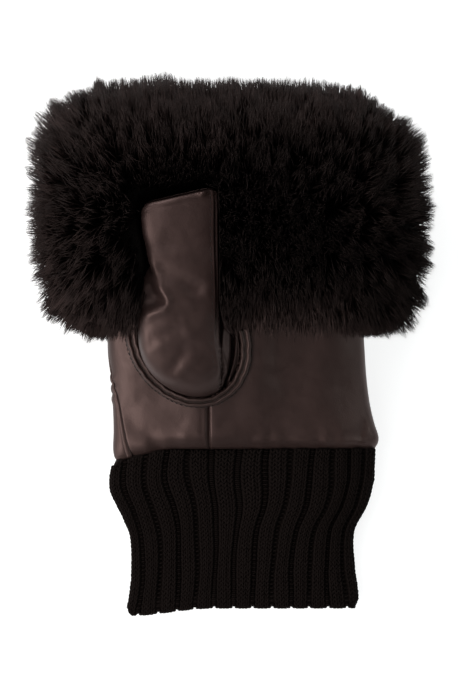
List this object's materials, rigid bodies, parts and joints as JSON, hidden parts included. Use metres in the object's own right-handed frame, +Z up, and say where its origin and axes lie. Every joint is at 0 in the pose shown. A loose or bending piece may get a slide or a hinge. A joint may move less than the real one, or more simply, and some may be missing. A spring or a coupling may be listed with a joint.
{
  "type": "fur-trimmed fingerless glove",
  "caption": "Soft leather fingerless glove for a left hand, with a ribbed knit cuff, an open-ended thumb and a deep fur band round the finger opening.",
  "frame": {"origin": "under the middle of the glove's box, on the surface that the glove lies on with its palm up", "axes": "+Y from the wrist to the fingers, +X to the little-finger side seen from above the palm, +Z up out of the palm"},
  "size_m": [0.1704, 0.2282, 0.0777],
  "materials": {
    "leather": "brown-black nappa with a soft semi-gloss and fine grain",
    "knit": "near-black ribbed wool knit, matt",
    "fur": "deep brown-black fur with a soft sheen at the tips"
  },
  "bodies": {
    "root": {"palm_panel": "leather", "back_panel": "leather", "thumb": "leather", "thumb_welt": "leather", "knit_cuff": "knit", "fur_trim": "fur"}
  },
  "joints": []
}
